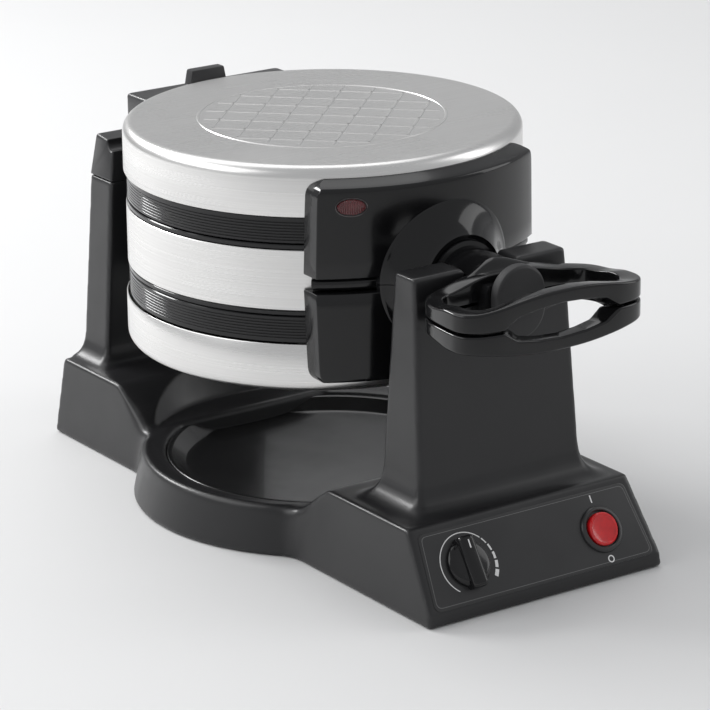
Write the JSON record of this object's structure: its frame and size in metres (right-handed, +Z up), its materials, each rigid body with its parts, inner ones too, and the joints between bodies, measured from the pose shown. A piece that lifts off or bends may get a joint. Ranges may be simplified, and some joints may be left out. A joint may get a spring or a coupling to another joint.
{
  "type": "waffle maker",
  "caption": "Flip-over double waffle maker: round steel cooking unit on a front-to-back axle between two posts of a black base with drip tray, dial and rocker switch.",
  "frame": {"origin": "centre of the footprint, on the surface the rubber feet stand on", "axes": "+Z up, -Y towards the handles and control panel, +X to the right seen from the front"},
  "size_m": [0.2, 0.3582, 0.2014],
  "materials": {
    "satin_black": "satin moulded plastic, fine texture",
    "gloss_black": "glossy moulded plastic",
    "matte_black": "matte moulded plastic",
    "panel": "semi-gloss label with fine printed lines",
    "tray": "semi-gloss plastic",
    "bush": "low-friction plastic",
    "rubber": "matte rubber",
    "red_lens": "translucent red plastic",
    "dark_red_lens": "translucent dark red plastic",
    "bezel_metal": "thin bright trim",
    "brushed_steel": "brushed stainless steel",
    "plate_coat": "die-cast plate with a dark non-stick coating",
    "heater": "sheathed heating element",
    "bare_metal": "plain metal"
  },
  "bodies": {
    "base": {"base_housing": "satin_black", "rear_post_cap": "satin_black", "rear_cap_screw_1": "bare_metal", "rear_cap_screw_2": "bare_metal", "front_saddle_bush": "bush", "rear_bearing_bush": "bush", "front_bottom_plate": "matte_black", "rear_bottom_plate": "matte_black", "rubber_foot_1": "rubber", "rubber_foot_2": "rubber", "rubber_foot_3": "rubber", "rubber_foot_4": "rubber", "cord_gland": "rubber", "control_panel": "panel", "thermostat_body": "bare_metal", "switch_bezel": "gloss_black", "switch_body": "matte_black"},
    "cooking_unit": {"middle_band": "brushed_steel", "middle_chassis": "bare_metal", "middle_rim_upper": "gloss_black", "middle_rim_lower": "gloss_black", "middle_plate_upper": "plate_coat", "middle_plate_lower": "plate_coat", "middle_heating_element": "heater", "front_axle": "gloss_black", "axle_end_cap": "matte_black", "end_cap_screw": "bare_metal", "rear_hinge_yoke": "satin_black", "rear_axle": "bare_metal", "upper_hinge_pin": "bare_metal", "lower_hinge_pin": "bare_metal", "lower_cover": "brushed_steel", "lower_ring": "gloss_black", "lower_waffle_plate": "plate_coat", "lower_heating_element": "heater", "lower_front_bracket": "gloss_black", "lower_handle": "gloss_black", "lower_handle_screw": "bare_metal", "lower_rear_bracket": "satin_black"},
    "upper_lid": {"upper_cover": "brushed_steel", "upper_ring": "gloss_black", "upper_waffle_plate": "plate_coat", "upper_heating_element": "heater", "upper_front_bracket": "gloss_black", "upper_handle": "gloss_black", "upper_handle_screw": "bare_metal", "upper_rear_bracket": "satin_black", "indicator_bezel": "bezel_metal", "indicator_lens": "dark_red_lens"},
    "dial": {"browning_dial": "gloss_black", "dial_shaft": "bare_metal"},
    "rocker": {"power_rocker": "red_lens"},
    "tray": {"drip_tray": "tray"}
  },
  "joints": [
    {"name": "unit_flip", "type": "hinge", "parent": "base", "child": "cooking_unit", "pos_m": [0, 0.019, 0.142], "axis": [0, 1, 0], "range_deg": [-180, 0]},
    {"name": "upper_lid_hinge", "type": "hinge", "parent": "cooking_unit", "child": "upper_lid", "pos_m": [0, 0.1224, 0.17], "axis": [-1, 0, 0], "range_deg": [0, 90]},
    {"name": "dial_turn", "type": "hinge", "parent": "base", "child": "dial", "pos_m": [-0.0393, -0.15706, 0.02334], "axis": [0, -0.8379, 0.5458], "range_deg": [-135, 135]},
    {"name": "rocker_tilt", "type": "hinge", "parent": "base", "child": "rocker", "pos_m": [0.0398, -0.15755, 0.02258], "axis": [1, 0, 0], "range_deg": [-14, 0]},
    {"name": "tray_lift", "type": "slide", "parent": "base", "child": "tray", "axis": [0, 0, 1], "range_m": [0, 0.02]}
  ]
}
